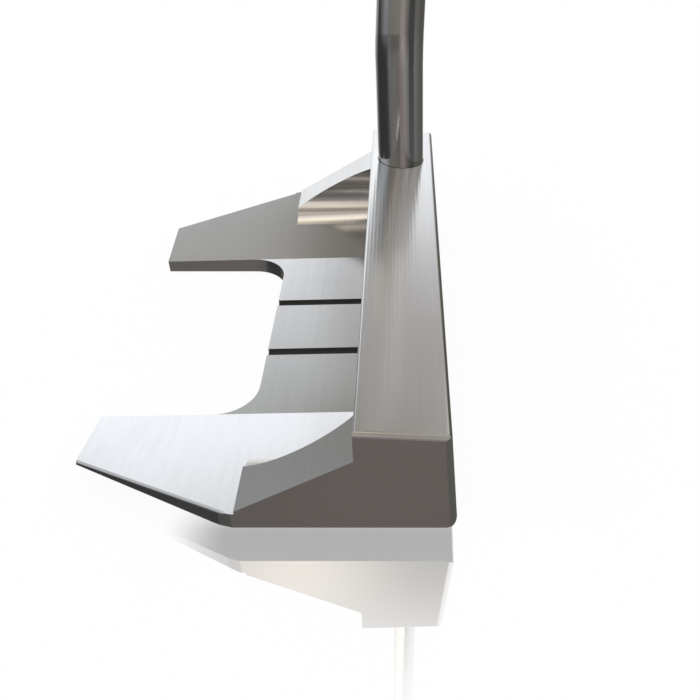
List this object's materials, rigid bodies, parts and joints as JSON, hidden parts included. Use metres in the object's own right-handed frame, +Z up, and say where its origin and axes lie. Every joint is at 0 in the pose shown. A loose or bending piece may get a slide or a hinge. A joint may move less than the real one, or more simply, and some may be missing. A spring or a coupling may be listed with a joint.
{
  "type": "mallet putter",
  "caption": "Right-handed golf putter with a milled fang-shaped mallet head, gusseted striking block, alignment grooves, bent steel shaft and flat-front grip.",
  "frame": {"origin": "on the ground in the flat middle of the sole, under the rear face of the striking block", "axes": "+X to the toe, -X to the heel, +Y out of the striking face, +Z up, with the head standing at address"},
  "size_m": [0.3648, 0.0658, 0.8246],
  "materials": {
    "milled_steel": "fine milled satin stainless steel",
    "line_paint": "matt black paint fill",
    "adhesive": "cured epoxy",
    "chrome_tube": "polished chrome plated steel",
    "tape": "double-sided paper tape",
    "grip_foam": "dense foam",
    "grip_rubber": "matt textured polyurethane",
    "cap_rubber": "matt moulded rubber"
  },
  "bodies": {
    "root": {"head_body": "milled_steel", "alignment_paint_toe": "line_paint", "alignment_paint_heel": "line_paint", "shaft_bond": "adhesive", "shaft": "chrome_tube", "grip_tape": "tape", "grip_core": "grip_foam", "grip_skin": "grip_rubber", "grip_cap": "cap_rubber"}
  },
  "joints": []
}
